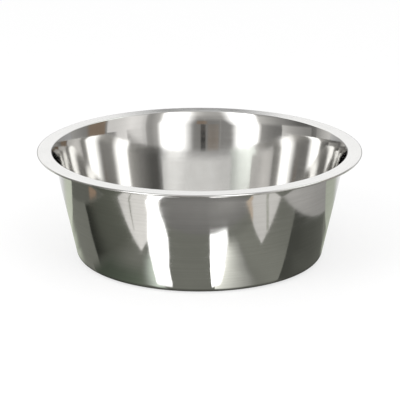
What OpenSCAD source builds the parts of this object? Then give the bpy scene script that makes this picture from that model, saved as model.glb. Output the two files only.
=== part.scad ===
// A round feeding bowl drawn from one disc of stainless sheet.
// The flat base, the leaning wall, the flange and the folded edge are all one sheet of even thickness.
// The axis of the bowl is Z. Z is zero at the table that it stands on.

/* [Bowl] */
// Diameter over the folded edge of the rim
rim_d = 250; // [180:1:340]
// Height from the table to the top of the flange
height = 84; // [60:1:120]
// Lean of the wall outward from upright, in degrees
wall_lean = 12; // [4:0.5:20]
// Thickness of the sheet
sheet_t = 0.6; // [0.4:0.05:1]

/* [Rim] */
// Width of the flat flange, from the outer edge to the bend at the neck
flange_w = 10.6; // [9:0.2:18]
// Radius under the tight bend from the wall to the flange
neck_r = 0.5; // [0.3:0.1:2]
// Outer radius of the gentle flare at the top of the wall
flare_r = 50; // [20:1:80]
// Lean of the wall where its flare ends at the neck, in degrees
flare_lean = 24; // [22:1:36]
// Clear gap inside the folded edge
fold_gap = 0.8; // [0.4:0.1:2]
// Length of the flat leg that is folded back under the flange
fold_leg = 3.5; // [2:0.1:4.5]

/* [Base] */
// Outer radius of the bend from the base to the wall
foot_r = 5; // [2:0.5:12]
// Width of the flat ring that the bowl stands on
stand_w = 10; // [6:0.5:20]
// Rise of the base at its centre, above the standing ring
base_rise = 1.2; // [0.5:0.1:3]

/* [Hidden] */
// How far a cut runs on past the sheet
overrun = 1;
// Sides of a bend and of the whole turn
bend_sides = 96;
turn_sides = 240;
// The flare and the shallow dome are cut by wide circles, which need many sides to stay round
flare_sides = 960;
dome_sides = 4800;

// Unit steps straight out of the wall's outer face, on its straight stretch and at the end of its flare
wall_out = [cos(wall_lean), -sin(wall_lean)];
flare_out = [cos(flare_lean), -sin(flare_lean)];

// Centre of the bend at the neck, in the air under the flange
neck_c = [rim_d / 2 - flange_w, height - sheet_t - neck_r];
neck_top_r = neck_r + sheet_t;
// Centre of the flare, in the air outside the wall, and where its outer face starts
flare_c = neck_c + flare_out * (flare_r - neck_r);
flare_start = flare_c - wall_out * flare_r;
// Line of the straight wall's outer face, at the table
base_r = flare_start.x - flare_start.y * tan(wall_lean);
// Centre of the bend at the foot of the wall, and how far in from the corner of its two sides it lies
corner_share = tan(45 - wall_lean / 2);
foot_c = [base_r - foot_r * corner_share, foot_r];
foot_inner_r = foot_r - sheet_t;
// Folded edge: the sheet turns half round and runs back under the flange
fold_h = 2 * sheet_t + fold_gap;
fold_c = [rim_d / 2 - fold_h / 2, height - fold_h / 2];
// Dome of the base: one sphere under the sheet and one over it, on a common centre
dome_edge_r = foot_c.x - stand_w;
dome_r = (dome_edge_r * dome_edge_r + base_rise * base_rise) / (2 * base_rise);
dome_c = [0, base_rise - dome_r];

// A disc of the profile, about a given centre
module disc(centre, radius, sides = bend_sides) {
    translate(centre) circle(r = radius, $fn = sides);
}

// A straight-sided block of the profile, between two corners
module block(low, high) {
    translate(low) square(high - low);
}

// The round of the flare, between the straight wall and the neck, for a face at a given radius
module flare_round(radius) {
    start = flare_c - wall_out * radius;
    end = flare_c - flare_out * radius;
    intersection() {
        disc(flare_c, radius, flare_sides);
        block(start, [flare_c.x, end.y]);
    }
}

// Everything inside the outer face of the base, the wall and the neck
module body_outline() {
    difference() {
        union() {
            polygon([
                [0, 0],
                [foot_c.x, 0],
                foot_c + wall_out * foot_r,
                flare_start,
                neck_c - flare_out * neck_r,
                [neck_c.x, height - sheet_t],
                [neck_c.x, height],
                [0, height]
            ]);
            disc(foot_c, foot_r);
        }
        flare_round(flare_r);
        disc(neck_c, neck_r);
        disc(dome_c, dome_r, dome_sides);
    }
}

// The space in the bowl, down to the inner face of the sheet
module hollow_outline() {
    difference() {
        union() {
            polygon([
                [0, sheet_t],
                [foot_c.x, sheet_t],
                foot_c + wall_out * foot_inner_r,
                flare_start - wall_out * sheet_t,
                neck_c - flare_out * neck_top_r,
                [neck_c.x, height],
                [neck_c.x, height + overrun],
                [0, height + overrun]
            ]);
            disc(foot_c, foot_inner_r);
        }
        flare_round(flare_r + sheet_t);
        disc(neck_c, neck_top_r);
        disc(dome_c, dome_r + sheet_t, dome_sides);
    }
}

// The flange, out to the folded edge
module flange_outline() {
    block([neck_c.x, height - sheet_t], [fold_c.x, height]);
}

// The folded edge: a half turn of sheet and its flat leg, round the gap between them
module fold_outline() {
    difference() {
        union() {
            block([fold_c.x - fold_leg, height - fold_h], [fold_c.x, height]);
            disc(fold_c, fold_h / 2);
        }
        block([fold_c.x - fold_leg - overrun, height - fold_h + sheet_t], [fold_c.x, height - sheet_t]);
        disc(fold_c, fold_gap / 2);
    }
}

// Half of the bowl's section, to be turned about the axis
module sheet_outline() {
    difference() {
        body_outline();
        hollow_outline();
    }
    flange_outline();
    fold_outline();
}

// The whole pressing
module bowl_shell() {
    color("silver") rotate_extrude($fn = turn_sides) sheet_outline();
}

bowl_shell();
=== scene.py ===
from math import cos, hypot, pi, radians, sin, sqrt, tan

import bpy
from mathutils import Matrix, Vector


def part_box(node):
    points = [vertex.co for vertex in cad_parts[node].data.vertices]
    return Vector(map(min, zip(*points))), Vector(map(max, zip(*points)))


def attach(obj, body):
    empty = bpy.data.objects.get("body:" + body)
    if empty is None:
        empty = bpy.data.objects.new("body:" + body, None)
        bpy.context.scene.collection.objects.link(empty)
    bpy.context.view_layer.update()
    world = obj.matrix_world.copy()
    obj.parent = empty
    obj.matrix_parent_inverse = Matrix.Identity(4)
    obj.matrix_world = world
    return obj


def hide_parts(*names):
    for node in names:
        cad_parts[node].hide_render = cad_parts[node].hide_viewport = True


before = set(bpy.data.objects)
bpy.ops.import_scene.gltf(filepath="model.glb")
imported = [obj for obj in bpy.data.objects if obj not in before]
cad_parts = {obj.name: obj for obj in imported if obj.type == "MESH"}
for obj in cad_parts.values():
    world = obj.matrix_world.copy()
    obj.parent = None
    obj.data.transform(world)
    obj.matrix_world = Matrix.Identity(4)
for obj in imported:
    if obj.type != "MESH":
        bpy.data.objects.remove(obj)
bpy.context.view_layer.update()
bowlLow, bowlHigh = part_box("bowl_shell")
rimRadius = min(bowlHigh[0], bowlHigh[1], -bowlLow[0], -bowlLow[1])
bowlHeight = bowlHigh[2]
mm = 0.001
micrometre = 0.000001
print("frame loaded, rim radius", round(rimRadius, 5), "height", round(bowlHeight, 5))


class Wire:
    # one output of a shader node, so that maths on it reads as a plain sum
    def __init__(self, finish, socket):
        self.finish = finish
        self.socket = socket

    def calc(self, operation, left, right):
        return self.finish.node("ShaderNodeMath", {"operation": operation}, {0: left, 1: right})

    def __add__(self, other):
        return self.calc("ADD", self, other)

    def __radd__(self, other):
        return self.calc("ADD", other, self)

    def __sub__(self, other):
        return self.calc("SUBTRACT", self, other)

    def __rsub__(self, other):
        return self.calc("SUBTRACT", other, self)

    def __mul__(self, other):
        return self.calc("MULTIPLY", self, other)

    def __rmul__(self, other):
        return self.calc("MULTIPLY", other, self)

    def __truediv__(self, other):
        return self.calc("DIVIDE", self, other)

    def __pow__(self, other):
        return self.calc("POWER", self, other)


class Finish:
    # a material while its nodes are being laid out
    def __init__(self, name):
        self.material = bpy.data.materials.new(name)
        self.material.use_nodes = True
        self.tree = self.material.node_tree
        self.tree.nodes.clear()

    def node(self, kind, settings=None, sockets=None, out=0):
        made = self.tree.nodes.new(kind)
        for key, value in (settings or {}).items():
            if key == "stops":
                ramp = made.color_ramp
                while len(ramp.elements) < len(value):
                    ramp.elements.new(0.5)
                for stop, (place, colour) in zip(ramp.elements, value):
                    stop.position = place
                    stop.color = colour
            else:
                setattr(made, key, value)
        for key, value in (sockets or {}).items():
            if isinstance(value, Wire):
                self.tree.links.new(value.socket, made.inputs[key])
            else:
                made.inputs[key].default_value = value
        return Wire(self, made.outputs[out]) if made.outputs else None

    def smooth(self, value, low, high):
        # 0 below low, 1 above high, eased between
        return self.node("ShaderNodeMapRange", {"interpolation_type": "SMOOTHSTEP", "clamp": True},
                         {"Value": value, "From Min": low, "From Max": high, "To Min": 0.0, "To Max": 1.0})

    def blend(self, factor, first, second):
        return self.node("ShaderNodeMix", {"data_type": "RGBA"}, {0: factor, 6: first, 7: second}, out=2)

    def split(self, vector):
        return [self.node("ShaderNodeSeparateXYZ", sockets={0: vector}, out=i) for i in range(3)]

    def vector(self, x, y, z):
        return self.node("ShaderNodeCombineXYZ", sockets={0: x, 1: y, 2: z})

    def noise(self, vector, scale, detail=2.0, rough=0.5):
        return self.node("ShaderNodeTexNoise", sockets={"Vector": vector, "Scale": scale,
                                                        "Detail": detail, "Roughness": rough})

    def surface(self, shader):
        self.node("ShaderNodeOutputMaterial", sockets={"Surface": shader})
        return self.material


# the pressing, in millimetres
bowl = {
    "sheet": 0.6,
    "wallLean": 12.0,       # degrees outward from upright
    "flangeWidth": 10.6,    # outer edge to the bend at the neck
    "neckRadius": 0.5,      # under the tight bend into the flange
    "flareRadius": 50.0,    # outside of the gentle flare at the top of the wall
    "flareLean": 24.0,      # lean of the wall where the flare ends
    "foldGap": 0.8,         # inside the folded edge
    "foldLeg": 3.5,         # flat leg under the flange
    "legRound": 0.15,       # deburred end of the leg
    "footRadius": 5.0,      # outside of the bend at the base
    "standWidth": 10.0,     # flat ring it stands on
    "baseRise": 1.2,        # dome of the base at its centre
    "turnSteps": 360,       # faces round the bowl
    "flareSteps": 24,
    "bendSteps": 18,
    "edgeSteps": 14,
    "tipSteps": 4,          # for each quarter of the deburred end
    "domeSteps": 24,
    "runShares": (0, 0.001, 0.02, 0.5, 0.98, 0.999, 1),     # rings along a straight stretch
    "sameSpot": 0.0000001,  # metres; points nearer than this are one
}


def onArc(centre, radius, angle):
    return (centre[0] + radius * cos(radians(angle)), centre[1] + radius * sin(radians(angle)))


def arc(centre, radius, start, end, steps):
    # points on a bend, angles in degrees in the section plane
    return [onArc(centre, radius, start + (end - start) * i / steps) for i in range(steps + 1)]


def run(start, end):
    # points on a straight stretch; those close to its ends keep the shading of the bends out of it
    return [(start[0] + (end[0] - start[0]) * share, start[1] + (end[1] - start[1]) * share)
            for share in bowl["runShares"]]


def sheetSection(b):
    # the closed section of the sheet, from the axis under the base round to the axis in the bowl
    sheet = b["sheet"] * mm
    lean = b["wallLean"]
    slope = tan(radians(lean))
    cornerShare = tan(radians(45 - lean / 2))
    neck = b["neckRadius"] * mm
    neckAt = (rimRadius - b["flangeWidth"] * mm, bowlHeight - sheet - neck)
    flare, flareLean = b["flareRadius"] * mm, b["flareLean"]
    flareAt = onArc(neckAt, flare - neck, -flareLean)
    flareStart = onArc(flareAt, flare, 180 - lean)
    foot = b["footRadius"] * mm
    footAt = (flareStart[0] - flareStart[1] * slope - foot * cornerShare, foot)
    gap = b["foldGap"] * mm
    fold = sheet + gap / 2
    foldAt = (rimRadius - fold, bowlHeight - fold)
    legEnd = foldAt[0] - b["foldLeg"] * mm
    tip = b["legRound"] * mm
    rise = b["baseRise"] * mm
    domeEdge = footAt[0] - b["standWidth"] * mm
    domeRadius = (domeEdge ** 2 + rise ** 2) / (2 * rise)
    domeAt = rise - domeRadius
    domeInner = sqrt((domeRadius + sheet) ** 2 - (sheet - domeAt) ** 2)

    def dome(radius, edge, steps):
        return [(edge * i / steps, domeAt + sqrt(radius ** 2 - (edge * i / steps) ** 2))
                for i in range(steps + 1)]

    bends, edges, flares = b["bendSteps"], b["edgeSteps"], b["flareSteps"]
    tips, domes = b["tipSteps"], b["domeSteps"]
    parts = [
        ("base", dome(domeRadius, domeEdge, domes)),
        ("base", run((domeEdge, 0), (footAt[0], 0))),
        ("wall", arc(footAt, foot, -90, -lean, bends)),
        ("wall", run(onArc(footAt, foot, -lean), flareStart)),
        ("wall", arc(flareAt, flare, 180 - lean, 180 - flareLean, flares)),
        ("wall", arc(neckAt, neck, 180 - flareLean, 90, bends)),
        ("flange", run((neckAt[0], bowlHeight - sheet), (foldAt[0], bowlHeight - sheet))),
        ("flange", arc(foldAt, gap / 2, 90, -90, edges)),
        ("flange", run((foldAt[0], foldAt[1] - gap / 2), (legEnd + tip, foldAt[1] - gap / 2))),
        ("flange", arc((legEnd + tip, foldAt[1] - gap / 2 - tip), tip, 90, 180, tips)),
        ("flange", arc((legEnd + tip, foldAt[1] - fold + tip), tip, 180, 270, tips)),
        ("flange", run((legEnd + tip, foldAt[1] - fold), (foldAt[0], foldAt[1] - fold))),
        ("flange", arc(foldAt, fold, -90, 90, edges * 2)),
        ("flange", run((foldAt[0], bowlHeight), (neckAt[0], bowlHeight))),
        ("inside", arc(neckAt, neck + sheet, 90, 180 - flareLean, bends)),
        ("inside", arc(flareAt, flare + sheet, 180 - flareLean, 180 - lean, flares)),
        ("inside", run(onArc(flareAt, flare + sheet, 180 - lean), onArc(footAt, foot - sheet, -lean))),
        ("inside", arc(footAt, foot - sheet, -lean, -90, bends)),
        ("floor", run((footAt[0], sheet), (domeInner, sheet))),
        ("floor", list(reversed(dome(domeRadius + sheet, domeInner, domes)))),
    ]
    points, zones = [], []
    for zone, stretch in parts:
        for point in stretch:
            if points and hypot(point[0] - points[-1][0], point[1] - points[-1][1]) < b["sameSpot"]:
                continue
            if points:
                zones.append(zone)
            points.append(point)
    return points, zones


def turnSheet(name, points, zones, finishes, steps):
    # turns the section about the axis; each end of it is one point on the axis
    order = list(finishes)
    verts, faces, slots = [(0, 0, points[0][1])], [], []
    rings = points[1:-1]
    for r, z in rings:
        for i in range(steps):
            turn = 2 * pi * i / steps
            verts.append((r * cos(turn), r * sin(turn), z))
    last = len(verts)
    verts.append((0, 0, points[-1][1]))
    for i in range(steps):
        j = (i + 1) % steps
        faces.append((0, 1 + j, 1 + i))
        slots.append(order.index(zones[0]))
    for k in range(len(rings) - 1):
        for i in range(steps):
            j = (i + 1) % steps
            a, b = 1 + k * steps, 1 + (k + 1) * steps
            faces.append((a + i, a + j, b + j, b + i))
            slots.append(order.index(zones[k + 1]))
    for i in range(steps):
        j = (i + 1) % steps
        a = 1 + (len(rings) - 1) * steps
        faces.append((a + i, a + j, last))
        slots.append(order.index(zones[-1]))
    mesh = bpy.data.meshes.new(name)
    mesh.from_pydata(verts, [], faces)
    for zone in order:
        mesh.materials.append(finishes[zone])
    mesh.polygons.foreach_set("material_index", slots)
    mesh.polygons.foreach_set("use_smooth", [True] * len(faces))
    mesh.update()
    piece = bpy.data.objects.new(name, mesh)
    bpy.context.scene.collection.objects.link(piece)
    return piece


# finish of each stretch of the sheet: around and along are how fine its lines are, round the bowl and across
# them, and depth is in micrometres
steel = {
    "colour": (0.74, 0.735, 0.72),
    "cloudColour": (0.71, 0.705, 0.69),
    "lineColour": (0.6, 0.595, 0.58),
    "cloudSize": 50.0,
    "wall": {"rough": 0.1, "lines": 0.3, "around": 0.7, "along": 300.0, "depth": 9.0},
    "inside": {"rough": 0.07, "lines": 0.15, "around": 0.8, "along": 260.0, "depth": 3.0},
    "flange": {"rough": 0.12, "lines": 0.06, "around": 2.0, "along": 900.0, "depth": 1.0},
    "floor": {"rough": 0.1, "lines": 0.2, "around": 1.5, "along": 300.0, "depth": 3.0},
    "base": {"rough": 0.3, "lines": 0.25, "around": 1.2, "along": 900.0, "depth": 2.0},
    "cloudRange": (0.35, 0.65),
    "lineRange": (0.3, 0.7),
    "fineAround": 2.3,      # the fine lines, against the coarse ones
    "fineAlong": 3.1,
    "fineDepth": 0.35,
    "streakSwing": 1.2,     # how far the lines and the clouds change the roughness, in shares of it
    "cloudSwing": 0.2,
    "anisotropic": 0.5,
    "anisotropicTurn": 0.25,
}


def steelFinish(zone):
    # polished sheet with fine lines that run round the bowl, as turning it against a belt leaves them
    look = steel[zone]
    finish = Finish(zone + "Steel")
    point = finish.node("ShaderNodeTexCoord", out="Object")
    x, y, z = finish.split(point)
    radius = (x * x + y * y) ** 0.5
    across, up, level = x / radius * look["around"], y / radius * look["around"], (z + radius) * look["along"]
    streak = finish.noise(finish.vector(across, up, level), 1.0, 3.0, 0.55)
    fineAround, fineAlong = steel["fineAround"], steel["fineAlong"]
    fine = finish.noise(finish.vector(across * fineAround, up * fineAround, level * fineAlong), 1.0, 2.0)
    tone = finish.smooth(finish.noise(point, steel["cloudSize"], 3.0), *steel["cloudRange"])
    shade = finish.blend(tone, (*steel["cloudColour"], 1), (*steel["colour"], 1))
    lines = finish.smooth(fine, *steel["lineRange"]) * look["lines"]
    shade = finish.blend(lines, shade, (*steel["lineColour"], 1))
    rough = look["rough"]
    roughness = (rough + (streak - 0.5) * (rough * steel["streakSwing"])
                 + (tone - 0.5) * (rough * steel["cloudSwing"]))
    bump = finish.node("ShaderNodeBump", sockets={"Strength": 1.0, "Distance": look["depth"] * micrometre,
                                                  "Height": streak + fine * steel["fineDepth"]})
    shader = finish.node("ShaderNodeBsdfPrincipled", sockets={
        "Base Color": shade, "Roughness": roughness, "Metallic": 1.0, "Normal": bump,
        "Anisotropic": steel["anisotropic"], "Anisotropic Rotation": steel["anisotropicTurn"]})
    return finish.surface(shader)


finishes = {zone: steelFinish(zone) for zone in ("base", "wall", "flange", "inside", "floor")}
print("finishes made")

sectionPoints, sectionZones = sheetSection(bowl)
shell = turnSheet("bowlShell", sectionPoints, sectionZones, finishes, bowl["turnSteps"])
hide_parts("bowl_shell")
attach(shell, "root")
print("bowl turned,", len(shell.data.polygons), "faces")

# floor and background; sizes in shares of the rim radius, so that they follow the bowl
studio = {
    "floorSize": 60.0,
    "floorDrop": 0.0003,     # metres under the bowl
    "floorColour": (0.92, 0.92, 0.92, 1.0),
    "mottleColour": (0.915, 0.915, 0.915, 1.0),
    "mottleSize": 30.0,
    "mottleRange": (0.3, 0.7),
    "floorWhite": 0.66,      # share of plain white in what the camera sees of the floor
    "worldLevel": 1.0,
    "cardLift": 0.0001,      # from one card on the table to the next; all stay below the floor of the bowl
    "cardFar": 9.0,          # for a standing card that says nothing else
    "cardStep": 12,          # degrees of turn to a face of a standing card
    "cardEdge": 0.0005,      # narrowest fade of an edge, in shares of the card
}


def makeFloor(s):
    size = s["floorSize"] * rimRadius
    mesh = bpy.data.meshes.new("floor")
    corners = [(-size, -size, 0), (size, -size, 0), (size, size, 0), (-size, size, 0)]
    mesh.from_pydata(corners, [], [(0, 1, 2, 3)])
    floor = bpy.data.objects.new("floor", mesh)
    floor.location.z = -s["floorDrop"]
    bpy.context.scene.collection.objects.link(floor)
    finish = Finish("floorPaper")
    point = finish.node("ShaderNodeTexCoord", out="Object")
    mottle = finish.smooth(finish.noise(point, s["mottleSize"]), *s["mottleRange"])
    paper = finish.blend(mottle, s["mottleColour"], s["floorColour"])
    matt = finish.node("ShaderNodeBsdfDiffuse", sockets={"Color": paper})
    white = finish.node("ShaderNodeEmission", sockets={"Color": (1, 1, 1, 1), "Strength": 1.0})
    camera, glossy, through = [finish.node("ShaderNodeLightPath", out=kind)
                               for kind in ("Is Camera Ray", "Is Glossy Ray", "Is Transmission Ray")]
    seen = finish.smooth(camera + glossy + through, 0.0, 1.0) * s["floorWhite"]
    floor.data.materials.append(finish.surface(
        finish.node("ShaderNodeMixShader", sockets={0: seen, 1: matt, 2: white})))


def makeWorld(s):
    world = bpy.data.worlds.new("studioWorld")
    bpy.context.scene.world = world
    world.use_nodes = True
    back = world.node_tree.nodes["Background"]
    back.inputs["Color"].default_value = (1, 1, 1, 1)
    back.inputs["Strength"].default_value = s["worldLevel"]


def cardFinish(name, card):
    # a glowing card: its levels run from left to right, and soft gives the shares of it over which its left,
    # right, bottom and top edges fade
    levels, tint = card["levels"], card.get("tint", (1, 1, 1))
    finish = Finish(name)
    u, v, _ = finish.split(finish.node("ShaderNodeTexCoord", out="UV"))
    left, right, bottom, top = [max(share, studio["cardEdge"]) for share in card.get("soft", (0, 0, 0, 0))]
    inside = (finish.smooth(u, 0.0, left) * finish.smooth(1 - u, 0.0, right)
              * finish.smooth(v, 0.0, bottom) * finish.smooth(1 - v, 0.0, top))
    stops = [(i / max(len(levels) - 1, 1), (*(level * t for t in tint), 1)) for i, level in enumerate(levels)]
    colour = finish.node("ShaderNodeValToRGB", {"stops": stops}, {0: u}) if len(stops) > 1 else stops[0][1]
    clear = finish.node("ShaderNodeBsdfTransparent")
    glow = finish.node("ShaderNodeEmission", sockets={"Color": colour, "Strength": 1.0})
    return finish.surface(finish.node("ShaderNodeMixShader", sockets={0: inside, 1: clear, 2: glow}))


def makeCard(name, card, rows):
    # rows of points from bottom to top, each from left to right; only polished surfaces see the card
    across, up = len(rows[0]), len(rows)
    mesh = bpy.data.meshes.new(name)
    mesh.from_pydata([tuple(c * rimRadius for c in point) for row in rows for point in row], [],
                     [(k * across + i, k * across + i + 1, (k + 1) * across + i + 1, (k + 1) * across + i)
                      for k in range(up - 1) for i in range(across - 1)])
    uv = mesh.uv_layers.new(name="card")
    for corner, loop in zip(uv.data, mesh.loops):
        corner.uv = (loop.vertex_index % across / (across - 1), loop.vertex_index // across / (up - 1))
    mesh.materials.append(cardFinish(name, card))
    made = bpy.data.objects.new(name, mesh)
    made.visible_camera = False
    made.visible_diffuse = False
    made.visible_transmission = False
    made.visible_volume_scatter = False
    made.visible_shadow = False
    bpy.context.scene.collection.objects.link(made)


# painted reflections: every card below glows and only the steel sees it
# the room that the steel reflects; its places and levels are fitted to the reflections in the photograph.
# turn is in degrees from the front towards +X, rise in degrees above the table, far in shares of the rim
# radius; at level 1 a card is as bright as the white background; spans are the turns at each rise of a card
# whose sides lean
warm = (1.02, 1.0, 0.965)
brown = (1.16, 0.98, 0.82)
room = {
    "leftSoftbox": {"spans": [(-55, -29), (-55, -27), (-55, -23), (-54, -19), (-53, -16), (-47, -10)],
                    "rise": (-3, 12, 17, 24, 42, 54), "levels": [2.6], "soft": (0.2, 0.45, 0, 0.1)},
    "rightSoftbox": {"spans": [(5, 38), (4, 38), (2, 38), (0, 36), (1, 35), (8, 29)],
                     "rise": (-3, 12, 18, 24, 38, 48), "levels": [2.6], "soft": (0.55, 0.22, 0, 0.1)},
    "darkGap": {"turn": (-5.6, -0.6), "rise": (-3, 14.5), "far": 9.05, "levels": [0.06], "tint": warm,
                "soft": (0.15, 0.15, 0, 0.08)},
    "narrowGap": {"turn": (0, 4), "rise": (-3, 14), "far": 9.05, "levels": [0.08], "tint": warm,
                  "soft": (0.15, 0.15, 0, 0.1)},
    "brownDoor": {"turn": (-18, -6), "rise": (-3, 16), "far": 9.05, "levels": [0.28, 0.22, 0.27],
                  "tint": brown, "soft": (0.2, 0.2, 0, 0.3)},
    "brownShelf": {"turn": (-8, 5), "rise": (14, 23), "far": 9.07, "levels": [0.24, 0.2, 0.24],
                   "tint": (1.28, 1.0, 0.78), "soft": (0.3, 0.3, 0.1, 0.5)},
    "middleFlag": {"turn": (-32, 9), "rise": (-3, 27), "far": 9.1, "levels": [0.3, 0.28, 0.25, 0.25, 0.3],
                   "tint": warm, "soft": (0.1, 0.1, 0, 0.32)},
    "middleTop": {"turn": (-34, 14), "rise": (25, 46), "far": 9.11,
                  "levels": [0.7, 0.52, 0.5, 0.54, 0.8, 1.2], "tint": warm, "soft": (0, 0, 0.4, 0.1)},
    "middleWall": {"turn": (-36, 16), "rise": (-3, 50), "far": 9.15, "levels": [0.45, 0.42, 0.38, 0.4, 0.45],
                   "tint": warm, "soft": (0, 0, 0, 0.1)},
    "upperGlow": {"turn": (-44, 2), "rise": (44, 62), "far": 9.12, "levels": [1.2, 1.2, 0.7],
                  "soft": (0.2, 0.1, 0.3, 0)},
    "rightLow": {"turn": (36, 66), "rise": (-3, 10.0), "far": 9.2, "levels": [0.3, 0.22, 0.32, 0.34, 0.4],
                 "tint": warm, "soft": (0, 0.06, 0, 0.04)},
    "rightLowDark": {"turn": (73, 88), "rise": (-3, 9.5), "far": 9.2, "levels": [0.28], "tint": warm,
                     "soft": (0.4, 0, 0, 0.1)},
    "rightDoor": {"turn": (86, 110), "rise": (-3, 31), "far": 9.22, "levels": [0.2], "tint": (1.3, 1.0, 0.76),
                  "soft": (0.1, 0.3, 0, 0.1)},
    "rightFlag": {"turn": (32, 48), "rise": (-3, 60), "far": 9.25, "levels": [0.75, 0.5, 0.36, 0.4],
                  "tint": warm, "soft": (0, 0.12, 0, 0)},
    "rightScreenTop": {"turn": (44, 78), "rise": (32, 60), "far": 9.3, "levels": [0.36, 0.42, 0.6, 0.75],
                       "tint": warm, "soft": (0, 0, 0.2, 0)},
    "rightScreen": {"turn": (44, 87), "rise": (-3, 34), "far": 9.35,
                    "levels": [0.5, 0.9, 1.0, 0.87, 0.78, 0.78], "tint": (1.02, 1.0, 0.98)},
    "rightDark": {"turn": (85, 132), "rise": (-3, 31), "far": 9.3,
                  "levels": [0.35, 0.22, 0.24, 0.28, 0.36, 0.42], "tint": warm, "soft": (0, 0, 0, 0.1)},
    "rightWindow": {"turn": (70, 126), "rise": (27, 60), "far": 9.4, "levels": [1.1, 1.7, 1.9, 1.6, 1.1, 0.7],
                    "tint": (0.97, 1.02, 0.98), "soft": (0.1, 0.1, 0.15, 0)},
    "leftCurtain": {"turn": (-75, -55), "rise": (-3, 23), "far": 9.2, "levels": [0.2, 0.22, 0.28, 0.4],
                    "tint": warm, "soft": (0.03, 0, 0, 0.35)},
    "leftDoor": {"turn": (-108, -75), "rise": (-3, 21), "far": 9.25, "levels": [0.3, 0.33, 0.4, 0.5, 0.7],
                 "tint": warm, "soft": (0.05, 0, 0, 0.12)},
    "leftFlagTop": {"turn": (-76, -50), "rise": (30, 60), "far": 9.3, "levels": [0.3, 0.32, 0.42, 0.45],
                    "tint": warm, "soft": (0, 0, 0.1, 0)},
    "leftFlag": {"turn": (-114, -50), "rise": (-3, 60), "far": 9.4,
                 "levels": [0.22, 0.14, 0.15, 0.24, 0.36, 0.52, 0.75], "tint": warm, "soft": (0.04, 0, 0, 0)},
    "farLeftFlag": {"turn": (-138, -111), "rise": (-3, 31), "far": 9.45, "levels": [0.75, 0.66, 0.5, 0.26],
                    "tint": warm, "soft": (0.15, 0, 0, 0.2)},
    "leftWindow": {"turn": (-158, -104), "rise": (28, 60), "far": 9.38,
                   "levels": [1.1, 1.35, 1.6, 1.6, 0.85, 0.25], "soft": (0.2, 0, 0.3, 0)},
    "backStrip": {"turn": (173, 187), "rise": (13, 18.8), "levels": [0.3], "soft": (0.35, 0.35, 0.1, 0.1)},
    "backFlag": {"turn": (126, 230), "rise": (-3, 15.6), "levels": [0.44, 0.36, 0.3, 0.3, 0.4, 0.6],
                 "soft": (0.05, 0.05, 0, 0.04)},
    "backTop": {"turn": (112, 208), "rise": (36, 60), "far": 9.55, "levels": [0.55, 0.6, 0.7, 0.85],
                "soft": (0.1, 0.1, 0.5, 0)},
    "backBoard": {"turn": (106, 254), "rise": (-3, 60), "far": 9.7,
                  "levels": [1.0, 1.0, 1.14, 1.14, 1.2, 1.2], "soft": (0.05, 0.05, 0, 0)},
}

# flat over the bowl; a painted reflection of a ceiling, on a card that glows and that only the steel sees
ceiling = {"rows": [((-9.7, -9.7), (9.7, -9.7)), ((-9.7, 9.7), (9.7, 9.7))], "height": 15.7,
           "levels": [0.5, 0.5, 0.5, 0.48, 0.48, 0.55, 0.9, 1.5]}


def standRows(card):
    # rows of a card that curves round the bowl, from its lower edge to its upper edge
    far, spans = card.get("far", studio["cardFar"]), card.get("spans") or [card["turn"]] * 2
    steps = max(1, round((spans[0][1] - spans[0][0]) / studio["cardStep"]))
    rows = []
    for rise, (start, end) in zip(card["rise"], spans):
        turns = [radians(start + (end - start) * i / steps) for i in range(steps + 1)]
        rows.append([(far * sin(turn), -far * cos(turn), far * tan(radians(rise))) for turn in turns])
    return rows


def ringRows(radii, half):
    # one row for each radius, all the way round the axis, with half of its steps on either side of the front
    return [[(r * sin(t * pi / half), -r * cos(t * pi / half)) for t in range(-half, half + 1)]
            for r in radii]
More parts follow.
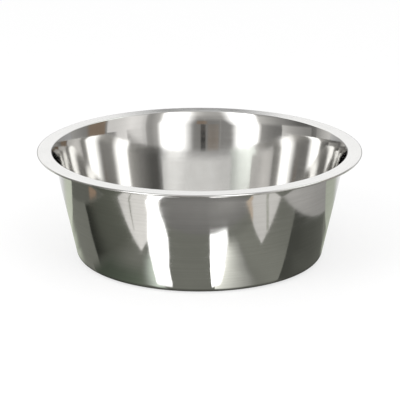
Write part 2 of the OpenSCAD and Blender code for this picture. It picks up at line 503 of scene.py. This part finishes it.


# painted reflections of a table and what lies on it: these cards glow too and only the steel sees them, and
# some of them are painted shade
# what lies on the table: rows of points from left to right, from one edge of each card to the other, in
# shares of the rim radius; each card lies just over the one before
slate = (1.03, 1.05, 0.92)
moss = (1.02, 1.08, 0.91)
table = {
    "ground": {"rows": [((-8, -8), (8, -8)), ((-8, 0.3), (8, 0.3))], "levels": [0.2], "tint": warm},
    "backGround": {"rows": [((-8, 0.15), (8, 0.15)), ((-8, 1.7), (8, 1.7))], "levels": [0.56],
                   "tint": (1.0, 1.01, 0.985), "soft": (0, 0, 0, 0.8)},
    "backLeft": {"rows": [((-8, 0.28), (-0.2, 0.28)), ((-8, 1.0), (-0.2, 1.0))], "levels": [0.62],
                 "tint": moss, "soft": (0, 0.08, 0, 0.6)},
    "backRight": {"rows": [((0.2, 0.22), (8, 0.22)), ((0.2, 1.1), (8, 1.1))], "levels": [0.45], "tint": moss,
                  "soft": (0.08, 0, 0, 0.5)},
    "leftGround": {"rows": [((-8, -8), (-1.35, -8)), ((-8, 0.34), (-1.35, 0.34))], "levels": [0.14],
                   "tint": slate},
    "rightGround": {"rows": [((1.2, -8), (8, -8)), ((1.2, 0.27), (8, 0.27))], "levels": [0.44], "tint": warm},
    "rightStep": {"rows": [((1.26, -1.1), (1.26, 0.27)), ((1.52, -1.1), (1.52, 0.27)),
                           ((1.8, -1.1), (1.8, 0.27))],
                  "levels": [0.5, 0.5, 0.44, 0.38, 0.34], "tint": warm, "soft": (0.2, 0, 0, 0.4)},
    "plate": {"rows": [((-1.45, -1.27), (1.28, -1.27)), ((-1.45, 0.33), (1.28, 0.26))], "levels": [0.2],
              "tint": slate},
    "leftBloom": {"rows": [((-0.68, -0.42), (-0.6, -0.42)), ((-0.92, -0.1), (-0.68, -0.1)),
                           ((-1.12, 0.12), (-0.68, 0.12)), ((-1.3, 0.335), (-0.68, 0.335))],
                  "levels": [0.24, 0.38, 0.55, 0.7], "tint": moss, "soft": (0.4, 0, 0.25, 0)},
    "rightBloom": {"rows": [((0.62, -0.35), (0.74, -0.35)), ((0.62, -0.05), (0.9, -0.05)),
                            ((0.62, 0.12), (1.02, 0.12)), ((0.62, 0.28), (1.14, 0.28))],
                   "levels": [0.7, 0.5, 0.3, 0.16], "tint": moss, "soft": (0, 0.4, 0.25, 0)},
    "frontGround": {"rows": [((-1.45, -8), (1.28, -8)), ((-1.45, -1.62), (1.28, -1.62)),
                             ((-1.45, -1.17), (1.28, -1.17))],
                    "levels": [0.25, 0.26, 0.27, 0.27, 0.28, 0.42, 0.32, 0.3], "tint": warm,
                    "soft": (0, 0, 0, 0.5)},
    "rightSheen": {"rows": [((0.3, -1.2), (1.28, -1.2)), ((0.3, -0.613), (1.28, -0.613))],
                   "levels": [0.25, 0.24, 0.2, 0.18], "tint": slate, "soft": (0.25, 0, 0.15, 0)},
    "rightShade": {"rows": [((1.28, -0.613), (1.28, 0.26)), ((0.9, -0.613), (0.9, 0.1)),
                            ((0.42, -0.613), (0.6, -0.3))],
                   "levels": [0.07, 0.075, 0.09, 0.1, 0.115, 0.13], "tint": (1.03, 1.06, 0.92),
                   "soft": (0, 0.1, 0, 0.12)},
    "leftShade": {"rows": [((-1.435, -0.144), (-1.43, -0.93)), ((-1.289, -0.213), (-1.29, -0.95)),
                           ((-1.11, -0.276), (-1.11, -0.96)), ((-0.936, -0.356), (-0.94, -0.97)),
                           ((-0.822, -0.408), (-0.82, -0.96)), ((-0.58, -0.5), (-0.58, -0.94))],
                  "levels": [0.02, 0.05, 0.09, 0.105, 0.115, 0.13, 0.15], "tint": (1.03, 1.08, 0.89),
                  "soft": (0.02, 0.15, 0, 0.25)},
    # painted shade: a dark green strip on the table along the foot of the bowl
    "greenShadeEdge": {"rows": [((-0.94, -0.6), (-0.76, -0.74), (-0.54, -0.86), (-0.3, -0.92)),
                          ((-0.78, -0.34), (-0.6, -0.46), (-0.4, -0.6), (-0.22, -0.66))],
                 "levels": [0.06, 0.075, 0.095, 0.14, 0.19], "tint": (0.95, 1.12, 0.86),
                 "soft": (0.3, 0.3, 0.7, 0)},
    "brownSpot": {"rows": [((-1.64, -0.56), (-1.46, -0.56)), ((-1.64, -0.28), (-1.46, -0.28))],
                  "levels": [0.26], "tint": (1.35, 0.97, 0.7), "soft": (0.3, 0.2, 0.3, 0.3)},
    "leftPaper": {"rows": [((-1.7, -1.7), (-0.63, -1.7)), ((-1.7, -0.99), (-0.597, -0.9))],
                  "levels": [0.7, 0.7, 0.9, 0.95], "tint": warm, "soft": (0, 0, 0, 0.01)},
    # painted shade: a dark line along a fold in the paper
    "leftFoldShade": {"rows": [((-1.18, -1.15), (-1.04, -1.115)), ((-1.035, -1.065), (-0.925, -1.04)),
                          ((-0.84, -0.98), (-0.78, -0.965))], "levels": [0.32], "tint": slate,
                 "soft": (0.3, 0.3, 0, 0)},
    "rightPaper": {"rows": [((0.74, -1.7), (1.7, -1.7)), ((0.739, -1.27), (1.7, -1.27)),
                            ((0.697, -1.055), (1.7, -1.055)), ((0.682, -0.917), (1.7, -1.0))],
                   "levels": [0.72, 0.74, 0.74, 0.74], "tint": warm, "soft": (0, 0, 0, 0.01)},
    # painted shade: a dark line along a fold in the paper
    "rightFoldShade": {"rows": [((1.03, -1.18), (1.1, -1.16)), ((0.915, -1.05), (0.98, -1.035)),
                           ((0.81, -0.95), (0.87, -0.94))], "levels": [0.42], "tint": slate,
                  "soft": (0.35, 0.35, 0, 0)},
    "brownEdge": {"rows": [((0.735, -1.42), (0.9, -1.4)), ((0.735, -1.25), (0.81, -1.25)),
                           ((0.72, -1.15), (0.74, -1.15))], "levels": [0.5], "tint": (1.22, 1.0, 0.78),
                  "soft": (0, 0.4, 0, 0.2)},
    "leftGlow": {"rows": [((-0.62, -0.98), (-0.5, -1.05)), ((-0.58, -0.87), (-0.38, -0.93)),
                          ((-0.48, -0.77), (-0.3, -0.82)), ((-0.38, -0.7), (-0.17, -0.73))],
                 "levels": [0.3, 0.4, 0.6, 0.8, 0.5], "tint": (0.95, 1.05, 0.93), "soft": (0.7, 0, 0.4, 0.1)},
    "leftMirror": {"rows": [((-0.9, -1.31), (-0.66, -1.43)), ((-0.79, -1.25), (-0.6, -1.35)),
                            ((-0.71, -1.13), (-0.46, -1.26)), ((-0.63, -1.02), (-0.37, -1.17)),
                            ((-0.55, -0.96), (-0.31, -1.05)), ((-0.43, -0.875), (-0.26, -0.93)),
                            ((-0.33, -0.795), (-0.19, -0.825)), ((-0.28, -0.75), (-0.16, -0.77))],
                   "levels": [2.6], "soft": (0.2, 0.1, 0, 0.1)},
    "rightGlow": {"rows": [((0.352, -1.2), (0.43, -1.24)), ((0.3, -1.076), (0.48, -1.05)),
                           ((0.228, -0.95), (0.46, -0.88)), ((0.1, -0.8), (0.42, -0.72)),
                           ((0.09, -0.76), (0.4, -0.68))],
                  "levels": [1.2, 0.85, 0.62, 0.44, 0.32, 0.24], "tint": (1.02, 1.03, 0.95),
                  "soft": (0, 0.35, 0.3, 0.12)},
    "rightMirror": {"rows": [((0.126, -1.262), (0.385, -1.262)), ((0.118, -1.17), (0.358, -1.15)),
                             ((0.105, -1.07), (0.315, -1.076)), ((0.094, -0.96), (0.25, -0.961)),
                             ((0.078, -0.79), (0.15, -0.805))],
                    "levels": [2.6], "soft": (0.04, 0.22, 0.02, 0.04)},
    # painted shadow: a dark ring on the table under and round the foot of the bowl
    "contactShadow": {"rows": ringRows((0.8, 0.62), 24), "levels": [0.05], "tint": slate, "soft": (0, 0, 0.35, 0)},
}


def lieRows(card, lift):
    return [[(x, y, lift) for x, y in row] for row in card["rows"]]


makeFloor(studio)
makeWorld(studio)
for name, card in room.items():
    makeCard(name, card, standRows(card))
makeCard("ceiling", ceiling, lieRows(ceiling, ceiling["height"]))
plateAt = list(table).index("plate")
for i, (name, card) in enumerate(table.items()):
    makeCard(name, card, lieRows(card, (i - plateAt) * studio["cardLift"]))
print("studio built,", len(room) + 1 + len(table), "cards")

# two soft lamps, which the steel doesn't show: turn and rise in degrees, far and size in metres, power in
# watts
lamps = {
    "leftLamp": {"turn": -45, "rise": 40, "far": 1.3, "power": 4.0, "size": 0.6},
    "rightLamp": {"turn": 25, "rise": 45, "far": 1.3, "power": 3.0, "size": 0.6},
}


def makeLamp(name, look):
    data = bpy.data.lights.new(name, "AREA")
    data.shape = "SQUARE"
    data.size = look["size"]
    data.energy = look["power"]
    lamp = bpy.data.objects.new(name, data)
    turn, up, far = radians(look["turn"]), radians(look["rise"]), look["far"]
    lamp.location = (far * sin(turn) * cos(up), -far * cos(turn) * cos(up), far * sin(up))
    lamp.rotation_euler = (-lamp.location).to_track_quat("-Z", "Y").to_euler()
    lamp.visible_glossy = False
    bpy.context.scene.collection.objects.link(lamp)


for name, look in lamps.items():
    makeLamp(name, look)

# the camera stands in front of the bowl and looks down into it; places in shares of the rim radius
camera = {
    "height": 3.5767,
    "distance": 10.3944,
    "aside": 0.00286,        # so that the bowl sits where the photograph has it
    "pitch": 17.326,         # degrees below level
    "lens": 157.47,
}


def makeCamera(c):
    data = bpy.data.cameras.new("camera")
    data.lens = c["lens"]
    data.sensor_width = 36.0
    data.clip_end = 50.0
    made = bpy.data.objects.new("camera", data)
    made.location = (c["aside"] * rimRadius, -c["distance"] * rimRadius, c["height"] * rimRadius)
    made.rotation_euler = (radians(90 - c["pitch"]), 0, 0)
    bpy.context.scene.collection.objects.link(made)
    bpy.context.scene.camera = made


makeCamera(camera)
bpy.context.scene.view_settings.view_transform = "Standard"
print("camera set")

bpy.context.view_layer.update()
